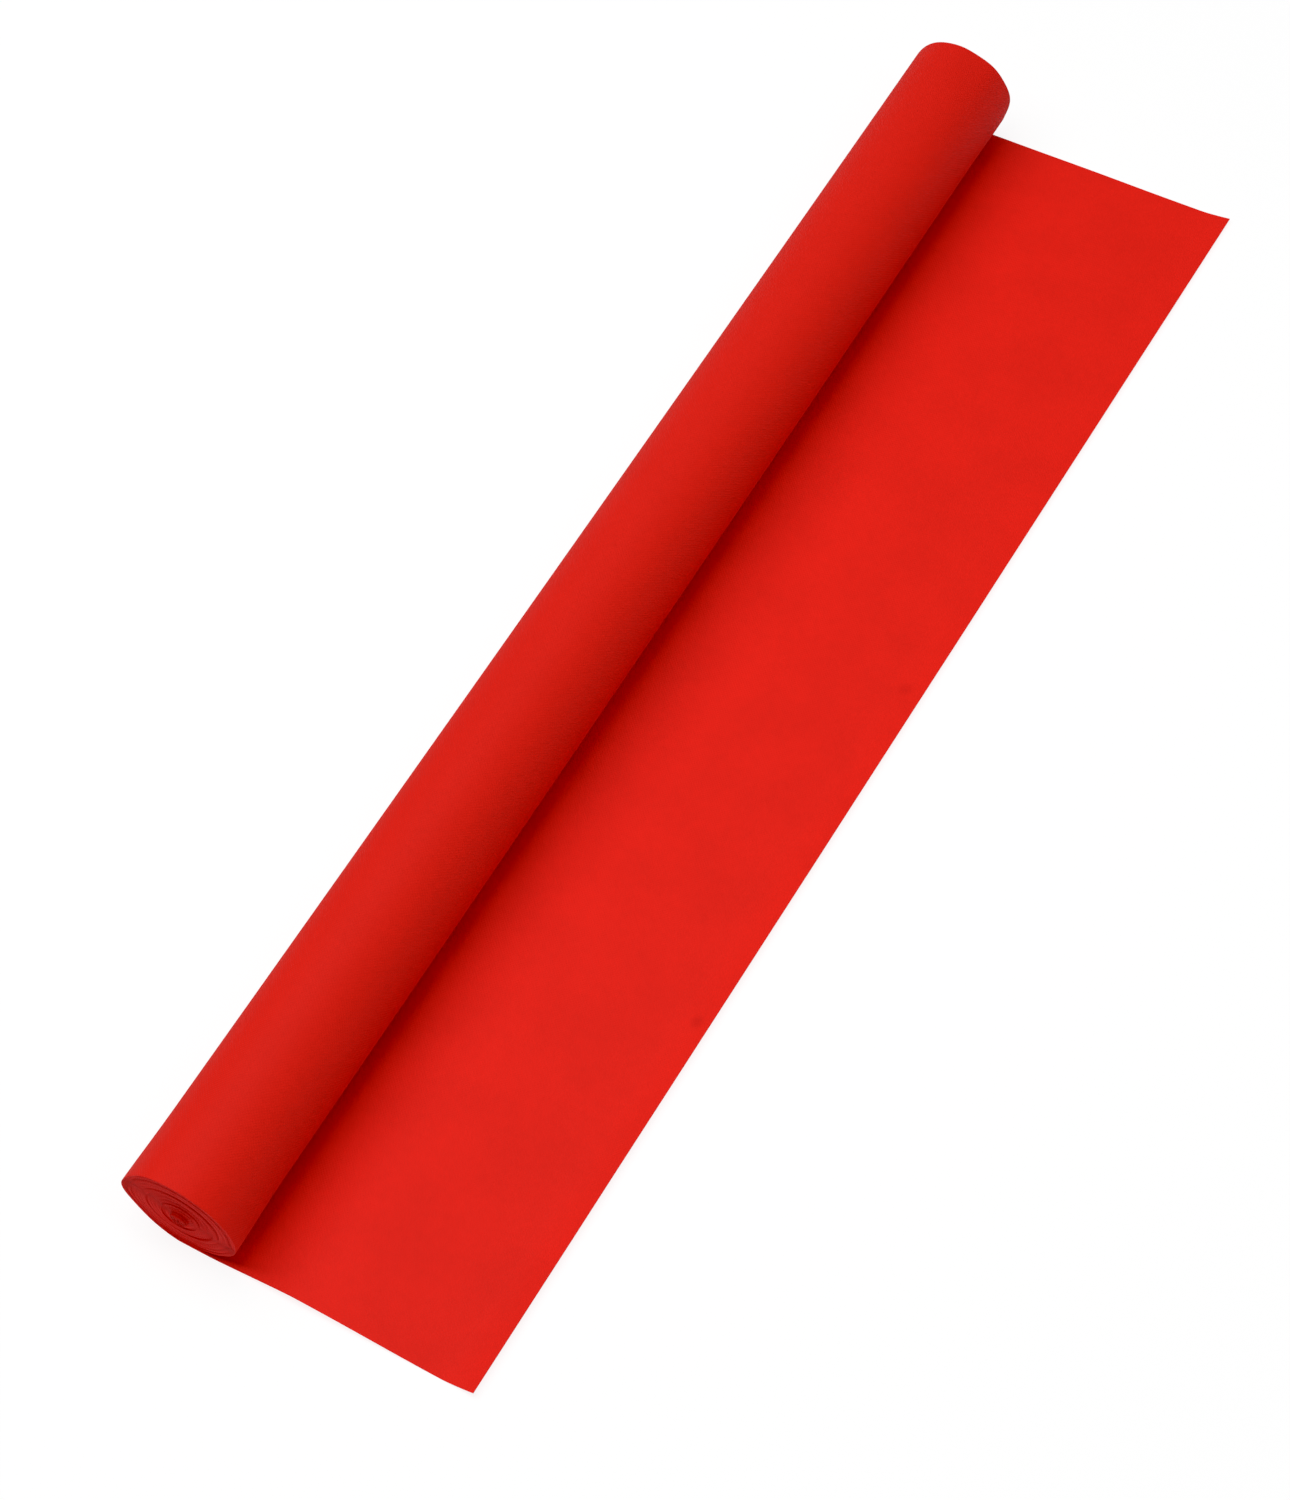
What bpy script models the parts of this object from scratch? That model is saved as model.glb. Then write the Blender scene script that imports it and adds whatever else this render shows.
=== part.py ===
"""A coreless roll of nonwoven cloth lying on a floor, with its loose end laid out beside it.

+Y runs along the roll from its near end to its far end. +X runs along the loose end, towards its
free edge. +Z is up and Z = 0 is the floor. The origin lies on the floor, under the middle of the
roll. Lengths are in metres. A place round the roll is an angle in degrees, counted from +X over
the top: 90 is the top, 180 the outer side and 270 the floor.
"""

import math
from collections import namedtuple

import bmesh
import bpy

# The cloth, and the clearance between the wound part and the laid part
CLOTH_WIDTH = 1.000
SHEET = 0.0012
GAP = 0.0003

# The wound form. Its axis is lower than its radius, which leaves a flat spot along the floor
ROLL_RADIUS = 0.0379
AXIS_HEIGHT = 0.0373
# Its axis bows this far towards the loose end at mid-length
BOW = 0.0010
# Within this share of the radius the turns are true rounds, whatever the outer turn does
ROUND_SHARE = 0.6

# The loose end comes out from under the roll, and laps up its outer side to this place
LAP_TOP = 225.0
LAP_CLEARANCE = 0.5
LAP_DEPTH = SHEET + GAP
# The wound form steps in for the lap between these two places
STEP_START = 340.0
STEP_FULL = 275.0

# How far the laid cloth reaches from under the axis, at the near and the far side
NEAR_REACH = 0.1961
FAR_REACH = 0.2113
# The cut edges: how far they stand proud of the roll's ends, and how they slant
NEAR_PROUD = 0.0012
NEAR_SLANT = 0.0098
FAR_PROUD = 0.0003
FAR_SLANT = -0.0152

# A soft ridge across the loose end, highest at the near cut edge and gone before mid-width
RIDGE_FOOT = 0.015
RIDGE_CREST = 0.0732
RIDGE_END = 0.176
RIDGE_HEIGHT = 0.0057
RIDGE_FADE = 0.45

# The free edge curls up off the floor, ever steeper towards the edge
CURL_WIDTH = 0.022
CURL_NEAR = 0.0046
CURL_FAR = 0.0025
CURL_POWER = 1.5

# The colour and finish of the cloth
CLOTH_RED = (0.74, 0.017, 0.010, 1.0)
CLOTH_ROUGHNESS = 0.78

# The mesh
COLUMNS = 72
SHARP_ANGLE = 35.0
MERGE_DISTANCE = 1e-6

NEAR = -1
FAR = 1

# Places where the loosely wound outer turns stand out or sink in, near one end of the roll
Bulge = namedtuple("Bulge", "around spread height end reach")
BULGES = (
    Bulge(around=174, spread=28, height=0.0015, end=NEAR, reach=0.055),
    Bulge(around=207, spread=27, height=-0.0009, end=NEAR, reach=0.050),
    Bulge(around=114, spread=22, height=0.0006, end=NEAR, reach=0.045),
    Bulge(around=338, spread=28, height=0.0012, end=NEAR, reach=0.050),
    Bulge(around=122, spread=30, height=0.0008, end=FAR, reach=0.050),
    Bulge(around=70, spread=26, height=-0.0011, end=FAR, reach=0.050),
    Bulge(around=8, spread=24, height=0.0009, end=FAR, reach=0.050),
    Bulge(around=318, spread=24, height=0.0020, end=FAR, reach=0.080),
)

# The inner turns have sagged: the middle of a turn lies this far across and up from the roll's axis,
# in full for the innermost
SAG_ACROSS = -0.0023
SAG_UP = -0.0082

# The wound turns from the rim inwards, and how far they are sunk into the near face, at the side
# where it is shallowest and at the side where it is deepest. The cloth is as wide everywhere, so a
# turn that is sunk into the near face stands as far out of the far face
Ring = namedtuple("Ring", "radius depth deepest")
DEEPEST_AROUND = 48.0
TURNS = (
    Ring(radius=0.0362, depth=0.0000, deepest=0.0000),
    Ring(radius=0.0354, depth=0.0005, deepest=0.0005),
    Ring(radius=0.0280, depth=0.0006, deepest=0.0007),
    Ring(radius=0.0256, depth=0.0006, deepest=0.0004),
    Ring(radius=0.0234, depth=0.0007, deepest=0.0007),
    Ring(radius=0.0226, depth=0.0008, deepest=0.0040),
    Ring(radius=0.0180, depth=0.0008, deepest=0.0038),
    Ring(radius=0.0131, depth=0.0008, deepest=0.0026),
    Ring(radius=0.0066, depth=0.0007, deepest=0.0014),
    Ring(radius=0.0058, depth=-0.0007, deepest=-0.0007),
)
# The hollow inside the innermost curl, as depths below it at either end
HOLLOW = (
    Ring(radius=0.0020, depth=0.0010, deepest=0.0010),
    Ring(radius=0.0016, depth=0.0200, deepest=0.0200),
)

# Sections along the roll, as distances from the middle in shares of half the cloth's width.
# They are closer together near the ends, where the outer turns are uneven
ROLL_SECTIONS = (
    -1.00, -0.985, -0.965, -0.945, -0.92, -0.89, -0.80, -0.55, -0.25,
    0.05, 0.35, 0.60, 0.76, 0.84, 0.89, 0.925, 0.955, 0.98, 1.00,
)
# Sections across the loose end, as shares of its width from the near cut edge
WIDTH_SECTIONS = (
    0.00, 0.012, 0.03, 0.06, 0.10, 0.16, 0.24, 0.33, 0.43, 0.53, 0.63, 0.73, 0.82, 0.89,
    0.94, 0.975, 1.00,
)
# Sections along each stretch of the loose end, as shares of the stretch
LAP_SECTIONS = (0.0, 0.13, 0.27, 0.41, 0.56, 0.71, 0.86, 1.0)
UNDER_SECTIONS = (0.35, 0.7)
RISE_SECTIONS = (0.0, 0.2, 0.43, 0.67, 0.86, 1.0)
FALL_SECTIONS = (0.08, 0.19, 0.33, 0.49, 0.65, 0.82)
CURL_SECTIONS = (0.0, 0.25, 0.5, 0.72, 0.88, 1.0)


def ease(share):
    """0 up to share 0, 1 from share 1, and a smooth rise between."""
    share = min(max(share, 0.0), 1.0)
    return share * share * (3 - 2 * share)


def swell(share):
    """1 at share 0, falling smoothly to 0 at share 1 on either side."""
    return 1 - ease(abs(share))


def between(start, end, share):
    return start + (end - start) * share


def clear_scene():
    for thing in list(bpy.data.objects):
        bpy.data.objects.remove(thing)


def cloth_material(name):
    material = bpy.data.materials.new(name)
    material.use_nodes = True
    shader = material.node_tree.nodes["Principled BSDF"]
    shader.inputs["Base Color"].default_value = CLOTH_RED
    shader.inputs["Roughness"].default_value = CLOTH_ROUGHNESS
    shader.inputs["Metallic"].default_value = 0.0
    material.diffuse_color = CLOTH_RED
    return material


def add_piece(name, bm, material):
    """Turns the bmesh into a named object, shaded smooth but for its cut edges and corners."""
    for face in bm.faces:
        face.smooth = True
    for edge in bm.edges:
        edge.smooth = not edge.is_boundary and edge.calc_face_angle() < math.radians(SHARP_ANGLE)
    mesh = bpy.data.meshes.new(name)
    bm.to_mesh(mesh)
    bm.free()
    mesh.materials.append(material)
    piece = bpy.data.objects.new(name, mesh)
    bpy.context.scene.collection.objects.link(piece)
    return piece


def shaped_grid(columns, rows, place):
    """A grid of columns by rows points, each set down at place(column, row)."""
    bm = bmesh.new()
    half = 0.5
    bmesh.ops.create_grid(bm, x_segments=columns - 1, y_segments=rows - 1, size=half)
    for vert in bm.verts:
        column = round((vert.co.x + half) * (columns - 1))
        row = round((vert.co.y + half) * (rows - 1))
        vert.co = place(column, row)
    return bm


def axis_x(y):
    return BOW * (1 - (2 * y / CLOTH_WIDTH) ** 2)


def outer_radius(around, y):
    radius = ROLL_RADIUS
    for bulge in BULGES:
        turned = (around - bulge.around + 180) % 360 - 180
        along = y - bulge.end * CLOTH_WIDTH / 2
        radius += bulge.height * swell(turned / bulge.spread) * swell(along / bulge.reach)
    return radius


def on_roll(around, y, depth, lowest):
    """(x, z) of a point this deep under the outer turn, and no lower than lowest."""
    angle = math.radians(around)
    radius = outer_radius(around, y) - depth
    x = axis_x(y) + radius * math.cos(angle)
    z = AXIS_HEIGHT + radius * math.sin(angle)
    return x, max(z, lowest)


def column_place(column):
    """(place round the roll, depth under the outer turn) of a column of the wound form.

    The columns run from the lap's top over the top of the roll, and back to it from below. The
    wound form is full size where the loose end has left it, and steps in where the lap lies.
    """
    around = LAP_TOP - 360.0 * column / COLUMNS
    stepped = (STEP_START - 360.0 - around) / (STEP_START - STEP_FULL)
    return around, LAP_DEPTH * ease(stepped)


def sunk(ring, around):
    """How deep this place on a ring is."""
    side = (1 + math.cos(math.radians(around - DEEPEST_AROUND))) / 2
    return between(ring.depth, ring.deepest, side)


def face_place(column, ring, end):
    """A point on an end face. The rings go from the roll's own outline to true rounds."""
    around, depth = column_place(column)
    angle = math.radians(around)
    share = ring.radius / ROLL_RADIUS
    y = end * CLOTH_WIDTH / 2
    rim_x, rim_z = on_roll(around, y, depth, LAP_DEPTH)
    outline = ease((share - ROUND_SHARE) / (1 - ROUND_SHARE))
    x = between(ROLL_RADIUS * math.cos(angle), rim_x - axis_x(y), outline)
    z = between(ROLL_RADIUS * math.sin(angle), rim_z - AXIS_HEIGHT, outline)
    x = axis_x(y) + SAG_ACROSS * (1 - share) + share * x
    z = AXIS_HEIGHT + SAG_UP * (1 - share) + share * z
    if ring in HOLLOW:
        return x, y + sunk(TURNS[-1], around) - end * sunk(ring, around), z
    return x, y + sunk(ring, around), z


def wound_roll(material):
    """One solid from the near hollow, over the near face, along the winding, to the far hollow."""
    face = TURNS + HOLLOW
    rows = [(ring, NEAR) for ring in face[::-1]]
    rows += [(None, share * CLOTH_WIDTH / 2) for share in ROLL_SECTIONS]
    rows += [(ring, FAR) for ring in face]

    def place(column, row):
        column %= COLUMNS + 1
        ring, along = rows[row]
        if ring is not None:
            return face_place(column, ring, along)
        around, depth = column_place(column)
        x, z = on_roll(around, along, depth, LAP_DEPTH)
        return x, along, z

    bm = shaped_grid(COLUMNS + 2, len(rows), place)
    bmesh.ops.remove_doubles(bm, verts=bm.verts, dist=MERGE_DISTANCE)
    bmesh.ops.holes_fill(bm, edges=[edge for edge in bm.edges if edge.is_boundary])
    bmesh.ops.recalc_face_normals(bm, faces=bm.faces)
    return add_piece("wound_roll", bm, material)


def cloth_edges(distance):
    """The y of the near and the far cut edge, at this distance along the cloth."""
    near = -CLOTH_WIDTH / 2 - NEAR_PROUD - NEAR_SLANT * distance
    far = CLOTH_WIDTH / 2 + FAR_PROUD + FAR_SLANT * distance
    return near, far


def lift(distance, y, reach, across):
    """How high the laid cloth stands off the floor.

    The ridge's flanks are half-way between straight slopes and smooth swells.
    """
    rise = (distance - RIDGE_FOOT) / (RIDGE_CREST - RIDGE_FOOT)
    fall = (RIDGE_END - distance) / (RIDGE_END - RIDGE_CREST)
    slope = min(max(min(rise, fall), 0.0), 1.0)
    fade = swell((y + CLOTH_WIDTH / 2) / RIDGE_FADE)
    ridge = RIDGE_HEIGHT * fade * (slope + ease(slope)) / 2
    curled = max(0.0, 1 - (reach - distance) / CURL_WIDTH)
    return ridge + between(CURL_NEAR, CURL_FAR, across) * curled ** CURL_POWER


def loose_sections():
    """The sections along the loose end: places on its lap, then distances from under the axis."""
    flat_spot = math.degrees(math.acos(AXIS_HEIGHT / ROLL_RADIUS))
    foot_place = 270.0 - flat_spot
    foot_distance = -ROLL_RADIUS * math.sin(math.radians(flat_spot))
    curl_start = NEAR_REACH - CURL_WIDTH
    lap = [between(LAP_TOP + LAP_CLEARANCE, foot_place, share) for share in LAP_SECTIONS]
    laid = [between(foot_distance, RIDGE_FOOT, share) for share in UNDER_SECTIONS]
    laid += [between(RIDGE_FOOT, RIDGE_CREST, share) for share in RISE_SECTIONS]
    laid += [between(RIDGE_CREST, curl_start, share) for share in FALL_SECTIONS]
    curl = [between(curl_start, NEAR_REACH, share) for share in CURL_SECTIONS]
    return lap, laid, curl


def loose_end(material):
    """The cloth from its lap on the roll's outer side, under the roll, to the free edge.

    The grid is the cloth's underside. Its faces point up, so the thickness is added above it.
    """
    lap, laid, curl = loose_sections()

    def place(column, row):
        across = WIDTH_SECTIONS[row]
        if column < len(lap):
            near, far = cloth_edges(0.0)
            y = between(near, far, across)
            x, z = on_roll(lap[column], y, 0.0, 0.0)
            return x, y, z
        reach = between(NEAR_REACH, FAR_REACH, across)
        if column < len(lap) + len(laid):
            distance = laid[column - len(lap)]
        else:
            distance = curl[column - len(lap) - len(laid)] + reach - NEAR_REACH
        near, far = cloth_edges(distance)
        y = between(near, far, across)
        return distance, y, lift(distance, y, reach, across)

    columns = len(lap) + len(laid) + len(curl)
    bm = shaped_grid(columns, len(WIDTH_SECTIONS), place)
    piece = add_piece("loose_end", bm, material)
    thickness = piece.modifiers.new("cloth thickness", "SOLIDIFY")
    thickness.thickness = SHEET
    thickness.offset = 1.0
    thickness.use_even_offset = True
    return piece


def main():
    clear_scene()
    wound_roll(cloth_material("wound_cloth"))
    loose_end(cloth_material("laid_cloth"))


main()
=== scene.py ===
"""A coreless roll of red nonwoven cloth, with its loose end laid out on a studio floor.

Run as a script in Blender. It is laid out as an add-on: the sizes and colours are properties, each
piece has an operator, and a panel in the sidebar lists them.

+Y runs along the roll from its near end to its far end, +X along the loose end and +Z up, in metres,
with Z = 0 on the floor. The cloth is one long strip. A place along its wound part is counted in
turns from the spot on the floor under the roll's axis: it goes under the roll, up its outer side,
over the top and down beside the loose end, and then on inside itself to the middle.
"""

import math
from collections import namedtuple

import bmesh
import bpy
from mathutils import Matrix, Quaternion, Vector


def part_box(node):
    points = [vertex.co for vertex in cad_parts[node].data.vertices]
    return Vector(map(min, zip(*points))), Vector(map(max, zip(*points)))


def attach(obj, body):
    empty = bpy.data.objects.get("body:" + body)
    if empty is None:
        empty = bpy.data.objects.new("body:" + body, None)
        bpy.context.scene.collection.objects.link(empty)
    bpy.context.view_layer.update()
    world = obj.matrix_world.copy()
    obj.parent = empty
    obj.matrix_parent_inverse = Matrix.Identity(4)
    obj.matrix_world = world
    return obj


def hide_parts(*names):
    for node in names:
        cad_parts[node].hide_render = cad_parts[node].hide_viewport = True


bl_info = {
    "name": "Roll of nonwoven cloth",
    "version": (1, 0, 0),
    "blender": (4, 5, 0),
    "location": "3D View > Sidebar > Cloth roll",
    "description": "Builds a coreless roll of red nonwoven cloth with its loose end laid out",
    "category": "Add Mesh",
}

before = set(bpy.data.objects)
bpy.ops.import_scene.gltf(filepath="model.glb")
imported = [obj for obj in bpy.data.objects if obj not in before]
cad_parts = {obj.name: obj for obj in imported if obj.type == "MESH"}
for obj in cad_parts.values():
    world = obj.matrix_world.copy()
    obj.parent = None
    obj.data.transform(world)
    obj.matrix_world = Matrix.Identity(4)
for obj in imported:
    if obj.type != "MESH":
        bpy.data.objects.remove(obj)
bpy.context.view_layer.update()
ROLL_LOW, ROLL_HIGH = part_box("wound_roll")
_, LOOSE_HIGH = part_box("loose_end")

NEAR = -1
FAR = 1

# How far the curl stands proud of the near end face, and how far both end faces lie from the middle
CURL_PROUD = 0.0007
HALF_WIDTH = -ROLL_LOW.y - CURL_PROUD

# The winding, from the outside inwards. Each stretch ends at its radius, and its turns get smaller so
# many times faster than tight ones do. The inner turns have sagged: their middle lies this far across
# from the roll's axis, and this far up from it
Stretch = namedtuple("Stretch", "radius looseness across up")
WINDING = (
    Stretch(radius=0.0374, looseness=1, across=0, up=0),
    Stretch(radius=0.0200, looseness=1.3, across=-0.00105, up=-0.00382),
    Stretch(radius=0.0060, looseness=1.3, across=-0.0019, up=-0.0069),
    Stretch(radius=0.0008, looseness=2.6, across=-0.0019, up=-0.0069),
)
OUTER_STRETCHES = 2
# The winding starts half a turn up from the floor, at the roll's top
TOP = 0.5

# Places where loosely wound turns stand out or lean in near one end of the roll. Each lies round a
# direction in degrees from +X over the top, spreads so many degrees to either side, reaches so far
# along the roll and fades over so many turns inwards
Slack = namedtuple("Slack", "around spread height end reach fade")
SLACKS = (
    Slack(around=174, spread=28, height=0.0015, end=NEAR, reach=0.055, fade=12),
    Slack(around=207, spread=27, height=-0.0009, end=NEAR, reach=0.050, fade=12),
    Slack(around=114, spread=22, height=0.0006, end=NEAR, reach=0.045, fade=2),
    Slack(around=338, spread=28, height=0.0012, end=NEAR, reach=0.050, fade=12),
    Slack(around=122, spread=30, height=0.0008, end=FAR, reach=0.050, fade=3),
    Slack(around=70, spread=26, height=-0.0011, end=FAR, reach=0.050, fade=24),
    Slack(around=8, spread=24, height=0.0009, end=FAR, reach=0.050, fade=3),
    Slack(around=318, spread=24, height=0.0020, end=FAR, reach=0.080, fade=5),
)

# How far the turns of each radius are sunk into the near face, at the side where it is shallowest and
# at the side where it is deepest. Below zero they stand proud of it. As the cloth has one width, the
# sunk turns stand as far out of the far face
Sunk = namedtuple("Sunk", "radius depth deepest")
# The deepest side, in degrees from +X over the top
DEEPEST_AROUND = 48.0
SUNK_TURNS = (
    Sunk(radius=0.0016, depth=-CURL_PROUD, deepest=-CURL_PROUD),
    Sunk(radius=0.0058, depth=-CURL_PROUD, deepest=-CURL_PROUD),
    Sunk(radius=0.0066, depth=0.0007, deepest=0.0014),
    Sunk(radius=0.0095, depth=0.0009, deepest=0.0019),
    Sunk(radius=0.0122, depth=0.0009, deepest=0.0022),
    Sunk(radius=0.0124, depth=0.0000, deepest=0.0018),
    Sunk(radius=0.0129, depth=0.0000, deepest=0.0018),
    Sunk(radius=0.0131, depth=0.0008, deepest=0.0024),
    Sunk(radius=0.0180, depth=0.0008, deepest=0.0027),
    Sunk(radius=0.0226, depth=0.0008, deepest=0.0029),
    Sunk(radius=0.0234, depth=0.0007, deepest=0.0007),
    Sunk(radius=0.0256, depth=0.0006, deepest=0.0004),
    Sunk(radius=0.0268, depth=0.0007, deepest=0.0014),
    Sunk(radius=0.0280, depth=0.0006, deepest=0.0007),
    Sunk(radius=0.0320, depth=0.0004, deepest=0.0004),
    Sunk(radius=0.0336, depth=0.0002, deepest=0.0002),
    Sunk(radius=0.0354, depth=0.0006, deepest=0.0006),
    Sunk(radius=0.0366, depth=0.0001, deepest=0.0001),
    Sunk(radius=0.0385, depth=0.0000, deepest=0.0000),
)

# The wound turns' own unevenness at the ends, as waves of so many turns
Wave = namedtuple("Wave", "length height")
EDGE_WAVES = (
    Wave(length=6.3, height=0.00006),
    Wave(length=2.37, height=0.00003),
    Wave(length=1.13, height=0.00002),
)
# Low swells of the laid cloth, as wave lengths along x and y
Swell = namedtuple("Swell", "along across height")
LAID_SWELLS = (
    Swell(along=0.140, across=0.310, height=0.00022),
    Swell(along=0.085, across=0.170, height=0.00012),
    Swell(along=0.230, across=0.097, height=0.00010),
)

# Rows of the wound turns: distances from the near cut edge, then shares of the width, then
# distances from the far cut edge
NEAR_ROWS = (0.0, 0.0012, 0.004, 0.010, 0.022, 0.038, 0.056)
MIDDLE_ROWS = (0.25, 0.5, 0.75)
FAR_ROWS = (0.082, 0.056, 0.036, 0.020, 0.008, 0.0015, 0.0)


def ease(share):
    """0 up to share 0, 1 from share 1, and a smooth rise between."""
    share = min(max(share, 0.0), 1.0)
    return share * share * (3 - 2 * share)


def swell(share):
    """1 at share 0, falling smoothly to 0 at share 1 on either side."""
    return 1 - ease(abs(share))


def between(start, end, share):
    """The value that lies this share of the way from start to end."""
    return start + (end - start) * share


class ClothSizes(bpy.types.PropertyGroup):
    """The cloth itself."""

    thickness: bpy.props.FloatProperty(
        name="Thickness", description="How thick the cloth is", default=0.00034, unit="LENGTH", precision=5
    )
    pitch: bpy.props.FloatProperty(
        name="Turn pitch", description="How much each tight turn adds to the radius", default=0.00037,
        unit="LENGTH", precision=5,
    )
    bond_pitch: bpy.props.FloatProperty(
        name="Bond pitch", description="Distance between neighbouring bond points", default=0.00157,
        unit="LENGTH", precision=5,
    )


class RollSizes(bpy.types.PropertyGroup):
    """The wound part."""

    radius: bpy.props.FloatProperty(
        name="Radius", description="Radius of the outer turn", default=0.0379, unit="LENGTH", precision=4
    )
    axis_height: bpy.props.FloatProperty(
        name="Axis height", description="Height of the roll's axis over the floor",
        default=ROLL_HIGH.z - 0.0379, unit="LENGTH", precision=4,
    )
    bow: bpy.props.FloatProperty(
        name="Bow", description="How far the axis bows towards the loose end at mid-length",
        default=0.0010, unit="LENGTH", precision=4,
    )
    neck_in: bpy.props.FloatProperty(
        name="Neck-in", description="How much narrower the cloth is where it is wound under tension",
        default=0.0008, unit="LENGTH", precision=4,
    )
    neck_turns: bpy.props.FloatProperty(
        name="Neck turns", description="Turns over which the cut edges draw in", default=0.16
    )


class LooseEndSizes(bpy.types.PropertyGroup):
    """The laid part, its ridge and its curled free edge."""

    near_reach: bpy.props.FloatProperty(
        name="Near reach", description="Distance from under the axis to the free edge, at the near side",
        default=0.1961, unit="LENGTH", precision=4,
    )
    far_reach: bpy.props.FloatProperty(
        name="Far reach", description="Distance from under the axis to the free edge, at the far side",
        default=LOOSE_HIGH.x, unit="LENGTH", precision=4,
    )
    near_proud: bpy.props.FloatProperty(
        name="Near proud", description="How far the cut edge stands out of the roll's near end",
        default=0.0012, unit="LENGTH", precision=4,
    )
    far_proud: bpy.props.FloatProperty(
        name="Far proud", description="How far the cut edge stands out of the roll's far end",
        default=0.0003, unit="LENGTH", precision=4,
    )
    near_slant: bpy.props.FloatProperty(
        name="Near slant", description="How much the near cut edge moves out along the cloth",
        default=0.0098, precision=4,
    )
    far_slant: bpy.props.FloatProperty(
        name="Far slant", description="How much the far cut edge moves out along the cloth",
        default=-0.0152, precision=4,
    )
    ridge_foot: bpy.props.FloatProperty(
        name="Ridge foot", description="Where the ridge starts", default=0.015, unit="LENGTH", precision=4
    )
    ridge_crest: bpy.props.FloatProperty(
        name="Ridge crest", description="Where the ridge is highest",
        default=0.0732, unit="LENGTH", precision=4,
    )
    ridge_end: bpy.props.FloatProperty(
        name="Ridge end", description="Where the ridge ends", default=0.176, unit="LENGTH", precision=4
    )
    ridge_height: bpy.props.FloatProperty(
        name="Ridge height", description="Height of the ridge at the near cut edge",
        default=0.0057, unit="LENGTH", precision=4,
    )
    ridge_fade: bpy.props.FloatProperty(
        name="Ridge fade", description="Distance over which the ridge dies away along the roll",
        default=0.45, unit="LENGTH",
    )
    curl_width: bpy.props.FloatProperty(
        name="Curl width", description="Width of the strip that curls up at the free edge",
        default=0.022, unit="LENGTH", precision=4,
    )
    curl_near: bpy.props.FloatProperty(
        name="Near curl", description="Height of the free edge at the near side",
        default=0.0046, unit="LENGTH", precision=4,
    )
    curl_far: bpy.props.FloatProperty(
        name="Far curl", description="Height of the free edge at the far side",
        default=0.0025, unit="LENGTH", precision=4,
    )
    curl_power: bpy.props.FloatProperty(
        name="Curl power", description="How much steeper the curl gets towards the edge", default=1.5
    )


class ClothLook(bpy.types.PropertyGroup):
    """The colour and finish of the cloth."""

    red: bpy.props.FloatVectorProperty(
        name="Red", description="Colour of the cloth where it is wound", subtype="COLOR", size=4,
        default=(0.765, 0.0154, 0.0076, 1.0), min=0, max=1,
    )
    # Painted light: a lighter red that stands for the white floor shining through a single layer of cloth
    laid_red_with_painted_light: bpy.props.FloatVectorProperty(
        name="Laid red", description="Colour of a single layer, with the white floor shining through",
        subtype="COLOR", size=4, default=(0.850, 0.0174, 0.0092, 1.0), min=0, max=1,
    )
    # Painted light: a brighter red that stands for light coming through the fibres at the cut edges
    cut_red_with_painted_light: bpy.props.FloatVectorProperty(
        name="Cut red", description="Colour of the cut edges, where light comes through the fibres",
        subtype="COLOR", size=4, default=(0.900, 0.0080, 0.0020, 1.0), min=0, max=1,
    )
    # Colour of two spots near the free edge that are drawn darker
    dark_spot_red: bpy.props.FloatVectorProperty(
        name="Stain red", description="Colour of the two faint spots", subtype="COLOR", size=4,
        default=(0.560, 0.0090, 0.0050, 1.0), min=0, max=1,
    )
    cloudiness: bpy.props.FloatProperty(
        name="Cloudiness", description="How much darker the cloth is where its fibres lie thin",
        default=0.07, min=0, max=1,
    )
    roughness: bpy.props.FloatProperty(
        name="Roughness", description="Roughness of the loose fibres", default=0.62, min=0, max=1
    )
    gloss: bpy.props.FloatProperty(
        name="Gloss", description="Strength of the faint gloss on the fibres", default=0.11, min=0, max=1
    )
    sheen: bpy.props.FloatProperty(
        name="Sheen", description="Fuzz seen against the light", default=0.03, min=0, max=1
    )


class StudioSettings(bpy.types.PropertyGroup):
    """Camera, light and floor."""

    azimuth: bpy.props.FloatProperty(
        name="Azimuth", description="Direction of the camera round the roll",
        default=math.radians(35.006), subtype="ANGLE",
    )
    elevation: bpy.props.FloatProperty(
        name="Elevation", description="Height of the camera over the horizon",
        default=math.radians(55.851), subtype="ANGLE",
    )
    tilt: bpy.props.FloatProperty(
        name="Tilt", description="Turn of the camera round its line of sight",
        default=math.radians(6.617), subtype="ANGLE",
    )
    target: bpy.props.FloatVectorProperty(
        name="Target", description="The point that the camera aims at",
        default=(0.06552, -0.07678, 0.0), subtype="TRANSLATION", unit="LENGTH",
    )
    distance: bpy.props.FloatProperty(
        name="Distance", description="Distance from the camera to its target",
        default=2.12668, unit="LENGTH",
    )
    lens: bpy.props.FloatProperty(
        name="Lens", description="Focal length of the camera in millimetres", default=80.438
    )
    key_power: bpy.props.FloatProperty(
        name="Key power", description="Power of the large lamp over the roll's outer side",
        default=66.3, unit="POWER",
    )
    side_power: bpy.props.FloatProperty(
        name="Side power", description="Power of the narrow lamp over the loose end",
        default=19.0, unit="POWER",
    )
    surroundings: bpy.props.FloatProperty(
        name="Surroundings", description="Strength of the even light from all sides", default=0.165
    )
    floor_white: bpy.props.FloatProperty(
        name="Floor", description="Lightness of the floor's surface", default=0.15, min=0, max=1
    )
    floor_glow: bpy.props.FloatProperty(
        name="Floor glow", description="Light that comes up through the floor", default=0.87, min=0, max=2
    )


def cloth_width():
    """The width of the cloth, with what stands proud of the roll's ends."""
    laid = bpy.context.scene.loose_end_sizes
    return 2 * HALF_WIDTH + laid.near_proud + laid.far_proud


def axis_x(y):
    """How far the bowed axis lies towards the loose end."""
    return bpy.context.scene.roll_sizes.bow * (1 - (y / HALF_WIDTH) ** 2)


def stretch_turns():
    """How many turns each stretch of the winding takes."""
    radius = bpy.context.scene.roll_sizes.radius
    pitch = bpy.context.scene.cloth_sizes.pitch
    counts = []
    for stretch in WINDING:
        counts.append((radius - stretch.radius) / (pitch * stretch.looseness))
        radius = stretch.radius
    return counts


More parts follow.
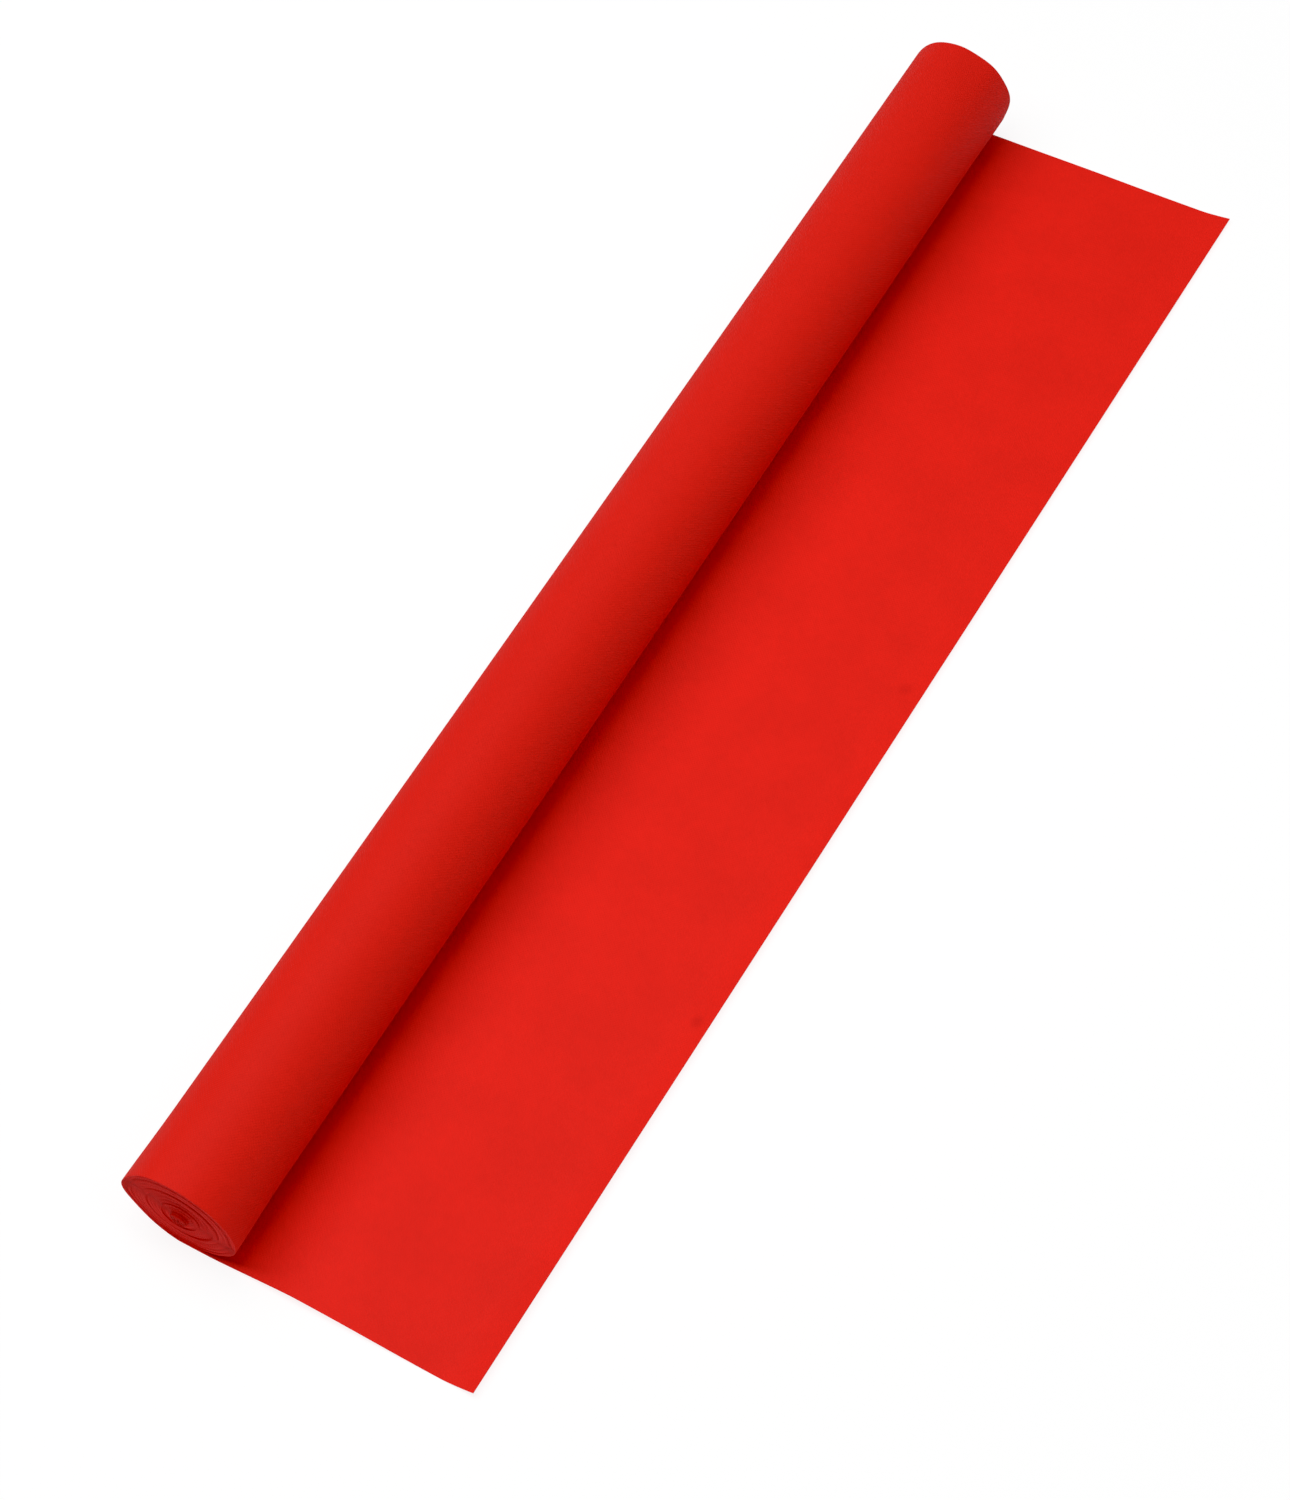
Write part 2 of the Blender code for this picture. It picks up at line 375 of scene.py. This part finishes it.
def wound_round(turns):
    """The radius of the cloth's outer face after so many turns, and its middle across and up. The
    radius is the roll's own half a turn up, at the top."""
    here = Stretch(bpy.context.scene.roll_sizes.radius, 1, 0.0, 0.0)
    turned = turns - TOP
    for stretch, count in zip(WINDING, stretch_turns()):
        if turned < count:
            share = turned / count
            return (
                between(here.radius, stretch.radius, share),
                between(here.across, stretch.across, share),
                between(here.up, stretch.up, share),
            )
        turned -= count
        here = stretch
    return here.radius, here.across, here.up


def direction(turns):
    """Where the cloth lies after so many turns, in degrees from +X over the top."""
    down = 270.0
    return down - 360.0 * turns


def slackness(around, y, turns):
    """How far a turn stands out of its round near the roll's ends."""
    height = 0.0
    for slack in SLACKS:
        turned = (around - slack.around + 180) % 360 - 180
        along = y - slack.end * HALF_WIDTH
        held = max(0.0, 1 - int(turns) / slack.fade)
        height += slack.height * held * swell(turned / slack.spread) * swell(along / slack.reach)
    return height


def sunk_depth(turns):
    """How far this turn's cut edge is sunk into the near face."""
    radius, _, _ = wound_round(turns)
    for inner, outer in zip(SUNK_TURNS, SUNK_TURNS[1:]):
        if radius <= outer.radius:
            break
    share = min((radius - inner.radius) / (outer.radius - inner.radius), 1.0)
    side = (1 + math.cos(math.radians(direction(turns) - DEEPEST_AROUND))) / 2
    depth = between(
        between(inner.depth, outer.depth, share), between(inner.deepest, outer.deepest, share), side
    )
    uneven = sum(wave.height * math.sin(2 * math.pi * turns / wave.length) for wave in EDGE_WAVES)
    return depth + uneven * ease(turns - 1)


def wound_edges(turns):
    """The y of the near and the far cut edge, this many turns along the wound part."""
    laid, roll = bpy.context.scene.loose_end_sizes, bpy.context.scene.roll_sizes
    necked = ease(turns / roll.neck_turns)
    near = -HALF_WIDTH - laid.near_proud * (1 - necked) + sunk_depth(turns)
    return near, near + cloth_width() - roll.neck_in * necked


def wound_place(turns, y):
    """A point on the cloth's outer face. Where the turns press on the floor, they lie in layers."""
    cloth, roll = bpy.context.scene.cloth_sizes, bpy.context.scene.roll_sizes
    around = direction(turns)
    angle = math.radians(around)
    radius, across, up = wound_round(turns)
    radius += slackness(around, y, turns)
    layer_gap = 0.00001
    lowest = round(turns) * (cloth.thickness + layer_gap)
    x = axis_x(y) + across + radius * math.cos(angle)
    z = roll.axis_height + up + radius * math.sin(angle)
    return Vector((x, y, max(z, lowest)))


def laid_edges(distance):
    """The y of the near and the far cut edge, at this distance along the laid part."""
    laid = bpy.context.scene.loose_end_sizes
    near = -HALF_WIDTH - laid.near_proud - laid.near_slant * distance
    far = HALF_WIDTH + laid.far_proud + laid.far_slant * distance
    return near, far


def laid_height(distance, y, reach, across):
    """How high the laid cloth stands off the floor. The ridge has half straight, half rounded flanks."""
    laid = bpy.context.scene.loose_end_sizes
    rise = (distance - laid.ridge_foot) / (laid.ridge_crest - laid.ridge_foot)
    fall = (laid.ridge_end - distance) / (laid.ridge_end - laid.ridge_crest)
    slope = min(max(min(rise, fall), 0.0), 1.0)
    fade = swell((y + HALF_WIDTH) / laid.ridge_fade)
    ridge = laid.ridge_height * fade * (slope + ease(slope)) / 2
    curled = max(0.0, 1 - (reach - distance) / laid.curl_width)
    curl = between(laid.curl_near, laid.curl_far, across) * curled ** laid.curl_power
    uneven = 0.0
    for wave in LAID_SWELLS:
        along = math.sin(2 * math.pi * distance / wave.along)
        uneven += wave.height * (1 + along * math.cos(2 * math.pi * y / wave.across)) / 2
    return ridge + curl + uneven * ease((distance - laid.ridge_foot) / laid.curl_width)


def shaped_grid(columns, rows, place):
    """A grid of columns by rows points. Each is set down at the point that place(column, row) gives,
    with the second pair of numbers as its place on the flat cloth, kept as a UV map. The attribute
    "cut" marks the two cut edges."""
    bm = bmesh.new()
    half = 0.5
    bmesh.ops.create_grid(bm, x_segments=columns - 1, y_segments=rows - 1, size=half)
    flat = {}
    cut = bm.verts.layers.float.new("cut")
    for vert in bm.verts:
        column = round((vert.co.x + half) * (columns - 1))
        row = round((vert.co.y + half) * (rows - 1))
        vert.co, flat[vert] = place(column, row)
        vert[cut] = 1.0 if row in (0, rows - 1) else 0.0
    layer = bm.loops.layers.uv.new("cloth")
    for face in bm.faces:
        face.smooth = True
        for loop in face.loops:
            loop[layer].uv = flat[loop.vert]
    for edge in bm.edges:
        edge.smooth = not edge.is_boundary
    return bm


def add_cloth(name, bm):
    """Makes the shaped grid an object, as thick as the cloth, and gives it the cloth's finish."""
    mesh = bpy.data.meshes.new(name)
    bm.to_mesh(mesh)
    bm.free()
    piece = bpy.data.objects.new(name, mesh)
    bpy.context.scene.collection.objects.link(piece)
    mesh.materials.append(nonwoven())
    thickness = piece.modifiers.new("thickness", "SOLIDIFY")
    thickness.thickness = bpy.context.scene.cloth_sizes.thickness
    thickness.offset = 1.0
    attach(piece, "root")
    return piece


def set_input(tree, socket, value):
    """Gives a shader input a number or colour, or links it to an output."""
    if isinstance(value, bpy.types.NodeSocket):
        tree.links.new(value, socket)
    else:
        socket.default_value = value


def value_map(tree, source, low, high, start, end):
    """A Map Range node that turns low..high of the source into start..end, smoothly."""
    node = tree.nodes.new("ShaderNodeMapRange")
    node.interpolation_type = "SMOOTHSTEP"
    node.inputs["From Min"].default_value = low
    node.inputs["From Max"].default_value = high
    node.inputs["To Min"].default_value = start
    set_input(tree, node.inputs["To Max"], end)
    tree.links.new(source, node.inputs["Value"])
    return node.outputs["Result"]


def noise(tree, place, scale, detail):
    """A noise over a place in metres, with features of about 1 / scale metres."""
    node = tree.nodes.new("ShaderNodeTexNoise")
    node.inputs["Scale"].default_value = scale
    node.inputs["Detail"].default_value = detail
    tree.links.new(place, node.inputs["Vector"])
    return node.outputs["Fac"]


def mixed(tree, factor, first, second):
    """A Mix node between two colours, or colour outputs."""
    node = tree.nodes.new("ShaderNodeMix")
    node.data_type = "RGBA"
    tree.links.new(factor, node.inputs["Factor"])
    for value, name in ((first, "A"), (second, "B")):
        socket = [found for found in node.inputs if found.name == name and found.type == "RGBA"][0]
        set_input(tree, socket, value)
    return [found for found in node.outputs if found.type == "RGBA"][0]


def bumped(tree, height, distance, strength, normal=None):
    """A Bump node over a height, on top of another bumped normal if there is one."""
    node = tree.nodes.new("ShaderNodeBump")
    node.inputs["Distance"].default_value = distance
    set_input(tree, node.inputs["Strength"], strength)
    tree.links.new(height, node.inputs["Height"])
    if normal is not None:
        tree.links.new(normal, node.inputs["Normal"])
    return node.outputs["Normal"]


# Two faint spots near the free edge, even up to this share of their radius
SPOT_CORE = 0.2
Spot = namedtuple("Spot", "x y radius strength")
SPOTS = (
    Spot(x=0.1922, y=-0.2350, radius=0.0070, strength=0.50),
    Spot(x=0.1916, y=0.0385, radius=0.0075, strength=0.35),
)


def bond_points(tree, flat_place):
    """1 on the bond points and 0 between them, in a square lattice that stands on its corner."""
    pitch = bpy.context.scene.cloth_sizes.bond_pitch
    lattice = tree.nodes.new("ShaderNodeMapping")
    lattice.inputs["Rotation"].default_value = (0, 0, math.radians(45))
    lattice.inputs["Scale"].default_value = (1 / pitch, 1 / pitch, 1)
    tree.links.new(flat_place, lattice.inputs["Vector"])
    points = tree.nodes.new("ShaderNodeTexVoronoi")
    points.voronoi_dimensions = "2D"
    points.inputs["Scale"].default_value = 1.0
    points.inputs["Randomness"].default_value = 0.0
    tree.links.new(lattice.outputs["Vector"], points.inputs["Vector"])
    return value_map(tree, points.outputs["Distance"], low=0.16, high=0.40, start=1.0, end=0.0)


def laid_part(tree, flat_place):
    """0 on the wound cloth and 1 on the laid cloth, with a change between where the roll hides it."""
    along = tree.nodes.new("ShaderNodeSeparateXYZ")
    tree.links.new(flat_place, along.inputs["Vector"])
    return value_map(tree, along.outputs["X"], low=0.017, high=0.031, start=0.0, end=1.0)


def darkened(tree, factor, colour):
    """The colour, mixed with so much black."""
    return mixed(tree, factor, colour, (0.0, 0.0, 0.0, 1.0))


def with_dark_spots(tree, colour, dark_spot_red):
    """The colour, with the faint spots on it."""
    place = tree.nodes.new("ShaderNodeTexCoord").outputs["Object"]
    for spot in SPOTS:
        away = tree.nodes.new("ShaderNodeVectorMath")
        away.operation = "DISTANCE"
        away.inputs[1].default_value = (spot.x, spot.y, 0)
        tree.links.new(place, away.inputs[0])
        distance = away.outputs["Value"]
        core = spot.radius * SPOT_CORE
        spot_darkness = value_map(tree, distance, low=core, high=spot.radius, start=spot.strength, end=0.0)
        colour = mixed(tree, spot_darkness, colour, dark_spot_red)
    return colour


def nonwoven():
    """Red spunbond: fine fibres in soft clouds, pressed together in a lattice of small bond points."""
    name = "red_spunbond"
    if name in bpy.data.materials:
        return bpy.data.materials[name]
    look = bpy.context.scene.cloth_look
    material = bpy.data.materials.new(name)
    material.use_nodes = True
    material.diffuse_color = look.red
    tree = material.node_tree
    shader = tree.nodes["Principled BSDF"]

    flat = tree.nodes.new("ShaderNodeUVMap")
    flat.uv_map = "cloth"
    flat_place = flat.outputs["UV"]
    bonded = bond_points(tree, flat_place)
    laid = laid_part(tree, flat_place)
    fibres = noise(tree, flat_place, scale=1500, detail=3)
    wisps = noise(tree, flat_place, scale=160, detail=4)
    clouds = noise(tree, flat_place, scale=24, detail=3)

    # The clouds show more where a single layer lies on the white floor
    wound_clouds, laid_clouds = look.cloudiness * 0.25, look.cloudiness * 0.65
    cloudy = value_map(tree, laid, low=0.0, high=1.0, start=wound_clouds, end=laid_clouds)
    thin = value_map(tree, clouds, low=0.36, high=0.66, start=0.0, end=cloudy)
    wispy = value_map(tree, wisps, low=0.3, high=0.8, start=0.0, end=look.cloudiness * 0.5)
    pressed = value_map(tree, bonded, low=0.0, high=1.0, start=0.0, end=look.cloudiness * 0.2)
    # The laid cloth's lighter red is painted light for the white floor shining through a single layer. Its
    # change reaches into the roll's shade on the laid cloth and lightens that shade too
    colour = mixed(tree, laid, look.red, look.laid_red_with_painted_light)
    for shade in (thin, wispy, pressed):
        colour = darkened(tree, shade, colour)
    # Two spots near the free edge are drawn darker
    colour = with_dark_spots(tree, colour, look.dark_spot_red)

    edge = tree.nodes.new("ShaderNodeAttribute")
    edge.attribute_name = "cut"
    cut = value_map(tree, edge.outputs["Fac"], low=0.97, high=1.0, start=0.0, end=1.0)
    # The cut edges get a brighter red, painted light for the light that comes through their fibres
    colour = mixed(tree, cut, colour, look.cut_red_with_painted_light)
    tree.links.new(colour, shader.inputs["Base Color"])

    # The bond points are smoother than the loose fibres, and sunk between them
    bond_roughness = look.roughness - 0.12
    rough = value_map(tree, bonded, low=0.0, high=1.0, start=look.roughness, end=bond_roughness)
    tree.links.new(rough, shader.inputs["Roughness"])
    raised = value_map(tree, bonded, low=0.0, high=1.0, start=1.0, end=0.0)
    # The relief shows less on the laid cloth than on the wound cloth
    relief = value_map(tree, laid, low=0.0, high=1.0, start=1.0, end=0.45)
    normal = bumped(tree, wisps, distance=0.00030, strength=0.5)
    normal = bumped(tree, fibres, distance=0.00006, strength=0.6, normal=normal)
    normal = bumped(tree, raised, distance=0.00012, strength=relief, normal=normal)
    tree.links.new(normal, shader.inputs["Normal"])
    shader.inputs["Specular IOR Level"].default_value = look.gloss
    shader.inputs["Sheen Weight"].default_value = look.sheen
    shader.inputs["Sheen Roughness"].default_value = 0.45
    shader.inputs["Sheen Tint"].default_value = (1.0, 0.62, 0.58, 1.0)
    return material


# The outer cloth covers so many turns, and each further piece starts a little inside the last one
OUTER_TURNS = 1.3
JOINT_GAP = 0.004

# How many columns of points each piece has in a turn, and how many steps the outer cloth has along its
# laid part and across its width
OUTER_COLUMNS_A_TURN = 144
WOUND_COLUMNS_A_TURN = 60
INNER_COLUMNS_A_TURN = 72
LAID_STEPS = 64
WIDTH_STEPS = 60
# How much the rows across the width draw together near the cut edges
ROWS_GATHER = 0.7


def laid_stations():
    """Shares of the laid part's length, from under the axis to the free edge, where columns lie."""
    return [step / LAID_STEPS for step in range(1, LAID_STEPS + 1)]


def width_stations():
    """Shares of the cloth's width where rows lie, closer together near the cut edges."""
    even = [step / WIDTH_STEPS for step in range(WIDTH_STEPS + 1)]
    return [between(share, ease(share), ROWS_GATHER) for share in even]


class CLOTHROLL_OT_outer_cloth(bpy.types.Operator):
    """The cloth from inside the outer turn, over the roll and under it, to the free edge"""

    bl_idname = "clothroll.outer_cloth"
    bl_label = "Outer turn and loose end"

    def execute(self, context):
        laid = context.scene.loose_end_sizes
        steps = round(OUTER_TURNS * OUTER_COLUMNS_A_TURN)
        wound = [OUTER_TURNS * (1 - step / steps) for step in range(steps + 1)]
        stations = laid_stations()
        widths = width_stations()
        around = 2 * math.pi * context.scene.roll_sizes.radius

        def place(column, row):
            across = widths[row]
            if column < len(wound):
                turns = wound[column]
                near, far = wound_edges(turns)
                y = between(near, far, across)
                return wound_place(turns, y), (-turns * around, y)
            share = stations[column - len(wound)]
            reach = between(laid.near_reach, laid.far_reach, across)
            near, far = laid_edges(reach * share)
            y = between(near, far, across)
            height = laid_height(reach * share, y, reach, across)
            return Vector((reach * share, y, height)), (reach * share, y)

        bm = shaped_grid(len(wound) + len(stations), len(widths), place)
        piece = add_cloth("outer_cloth", bm)
        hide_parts("loose_end", "wound_roll")
        return {"FINISHED"}


def row_place(row, near, far):
    """The y of one of the wound turns' rows, between the cut edges."""
    if row < len(NEAR_ROWS):
        return near + NEAR_ROWS[row]
    row -= len(NEAR_ROWS)
    if row < len(MIDDLE_ROWS):
        return between(near, far, MIDDLE_ROWS[row])
    return far - FAR_ROWS[row - len(MIDDLE_ROWS)]


def add_turns(name, first, last, columns_a_turn):
    """The wound cloth from one number of turns to another, further in."""
    columns = round((last - first) * columns_a_turn) + 1
    step = (last - first) / (columns - 1)
    turns_at = [first + step * column for column in range(columns)]
    around = 2 * math.pi * bpy.context.scene.roll_sizes.radius
    lengths = [first * around]
    for turns in turns_at[1:]:
        radius, _, _ = wound_round(turns)
        lengths.append(lengths[-1] + 2 * math.pi * radius * step)
    rows = len(NEAR_ROWS) + len(MIDDLE_ROWS) + len(FAR_ROWS)

    def place(column, row):
        column = columns - 1 - column
        near, far = wound_edges(turns_at[column])
        y = row_place(row, near, far)
        return wound_place(turns_at[column], y), (-lengths[column], y)

    piece = add_cloth(name, shaped_grid(columns, rows, place))


class CLOTHROLL_OT_wound_turns(bpy.types.Operator):
    """The tight turns inside the outer one"""

    bl_idname = "clothroll.wound_turns"
    bl_label = "Wound turns"

    def execute(self, context):
        last = TOP + sum(stretch_turns()[:OUTER_STRETCHES])
        add_turns("wound_turns", OUTER_TURNS + JOINT_GAP, last, WOUND_COLUMNS_A_TURN)
        return {"FINISHED"}


class CLOTHROLL_OT_inner_turns(bpy.types.Operator):
    """The sagging inner turns and the curl in the middle"""

    bl_idname = "clothroll.inner_turns"
    bl_label = "Inner turns and curl"

    def execute(self, context):
        counts = stretch_turns()
        first = TOP + sum(counts[:OUTER_STRETCHES]) + JOINT_GAP
        last = TOP + sum(counts)
        add_turns("inner_turns", first, last, INNER_COLUMNS_A_TURN)
        return {"FINISHED"}


class CLOTHROLL_OT_studio(bpy.types.Operator):
    """Floor, light and camera"""

    bl_idname = "clothroll.studio"
    bl_label = "Studio"

    def execute(self, context):
        studio = context.scene.studio_settings
        add_floor(studio)
        add_light(studio)
        add_camera(studio)
        set_film(context.scene.view_settings)
        return {"FINISHED"}


def add_floor(studio):
    """A pale floor that glows, so that the cloth's shadow on it stays faint."""
    reach = 30.0
    bm = bmesh.new()
    bmesh.ops.create_grid(bm, x_segments=1, y_segments=1, size=reach)
    mesh = bpy.data.meshes.new("studio_floor")
    bm.to_mesh(mesh)
    bm.free()
    floor = bpy.data.objects.new("studio_floor", mesh)
    bpy.context.scene.collection.objects.link(floor)
    paint = bpy.data.materials.new("floor_paint")
    paint.use_nodes = True
    shader = paint.node_tree.nodes["Principled BSDF"]
    shader.inputs["Base Color"].default_value = (studio.floor_white,) * 3 + (1,)
    shader.inputs["Roughness"].default_value = 0.9
    shader.inputs["Specular IOR Level"].default_value = 0.0
    shader.inputs["Emission Color"].default_value = (1, 1, 1, 1)
    shader.inputs["Emission Strength"].default_value = studio.floor_glow
    mesh.materials.append(paint)
    floor.visible_glossy = False


def add_lamp(name, lean, size, power):
    """A flat lamp over the cloth that leans so far from upright towards the loose end."""
    target, away = Vector((0.05, 0, 0)), 3.0
    towards_near_end = -0.05
    place = target + Vector((math.sin(lean), towards_near_end, math.cos(lean))) * away
    data = bpy.data.lights.new(name, "AREA")
    data.shape = "RECTANGLE"
    data.size, data.size_y = size
    data.energy = power
    lamp = bpy.data.objects.new(name, data)
    lamp.location = place
    lamp.rotation_mode = "QUATERNION"
    lamp.rotation_quaternion = (target - place).to_track_quat("-Z", "Y")
    bpy.context.scene.collection.objects.link(lamp)
    return lamp


def add_light(studio):
    """A large soft lamp over the roll's outer side, a narrow one over the loose end, and even light."""
    add_lamp("key", math.radians(-18.5), (1.9, 3.0), studio.key_power)
    side = add_lamp("side", math.radians(21.3), (0.5, 2.6), studio.side_power)
    # Only the large lamp shows in the cloth's faint gloss
    side.visible_glossy = False
    world = bpy.data.worlds.new("surroundings")
    world.use_nodes = True
    tree = world.node_tree
    background = tree.nodes["Background"]
    background.inputs["Color"].default_value = (1, 1, 1, 1)
    # The surroundings shine faintly on the cloth, and look white beyond the floor
    seen = tree.nodes.new("ShaderNodeLightPath").outputs["Is Camera Ray"]
    shine = value_map(tree, seen, low=0.0, high=1.0, start=studio.surroundings, end=1.0)
    tree.links.new(shine, background.inputs["Strength"])
    bpy.context.scene.world = world


def add_camera(studio):
    """The camera, which looks down on the loose end from beyond the roll's near end."""
    camera = bpy.data.objects.new("camera", bpy.data.cameras.new("camera"))
    level = math.cos(studio.elevation)
    back = Vector((
        math.sin(studio.azimuth) * level,
        -math.cos(studio.azimuth) * level,
        math.sin(studio.elevation),
    ))
    camera.location = Vector(studio.target) + back * studio.distance
    upright = (-back).to_track_quat("-Z", "Y")
    camera.rotation_mode = "QUATERNION"
    camera.rotation_quaternion = upright @ Quaternion((0, 0, 1), -studio.tilt)
    camera.data.lens = studio.lens
    camera.data.clip_start = 0.01
    bpy.context.scene.collection.objects.link(camera)
    bpy.context.scene.camera = camera


def set_film(view):
    """Plain colours, with the deepest shades of the camera's picture set to black."""
    deepest = 0.004
    view.view_transform = "Standard"
    view.use_curve_mapping = True
    view.curve_mapping.black_level = (deepest, deepest, deepest)
    view.curve_mapping.update()


class CLOTHROLL_PT_sidebar(bpy.types.Panel):
    """Lists the sizes and the operators"""

    bl_idname = "CLOTHROLL_PT_sidebar"
    bl_label = "Roll of nonwoven cloth"
    bl_space_type = "VIEW_3D"
    bl_region_type = "UI"
    bl_category = "Cloth roll"

    def draw(self, context):
        layout = self.layout
        for name in PROPERTY_GROUPS:
            group = getattr(context.scene, name)
            box = layout.box()
            for key in group.__annotations__:
                box.prop(group, key)
        for operator in OPERATORS:
            layout.operator(operator.bl_idname)


OPERATORS = (
    CLOTHROLL_OT_outer_cloth,
    CLOTHROLL_OT_wound_turns,
    CLOTHROLL_OT_inner_turns,
    CLOTHROLL_OT_studio,
)
PROPERTY_GROUPS = {
    "cloth_sizes": ClothSizes,
    "roll_sizes": RollSizes,
    "loose_end_sizes": LooseEndSizes,
    "cloth_look": ClothLook,
    "studio_settings": StudioSettings,
}


def register():
    for name, group in PROPERTY_GROUPS.items():
        bpy.utils.register_class(group)
        setattr(bpy.types.Scene, name, bpy.props.PointerProperty(type=group))
    for operator in OPERATORS:
        bpy.utils.register_class(operator)
    bpy.utils.register_class(CLOTHROLL_PT_sidebar)


def unregister():
    bpy.utils.unregister_class(CLOTHROLL_PT_sidebar)
    for operator in reversed(OPERATORS):
        bpy.utils.unregister_class(operator)
    for name, group in reversed(PROPERTY_GROUPS.items()):
        delattr(bpy.types.Scene, name)
        bpy.utils.unregister_class(group)


def main():
    register()
    bpy.ops.clothroll.studio()
    bpy.ops.clothroll.outer_cloth()
    bpy.ops.clothroll.wound_turns()
    bpy.ops.clothroll.inner_turns()


if __name__ == "__main__":
    main()
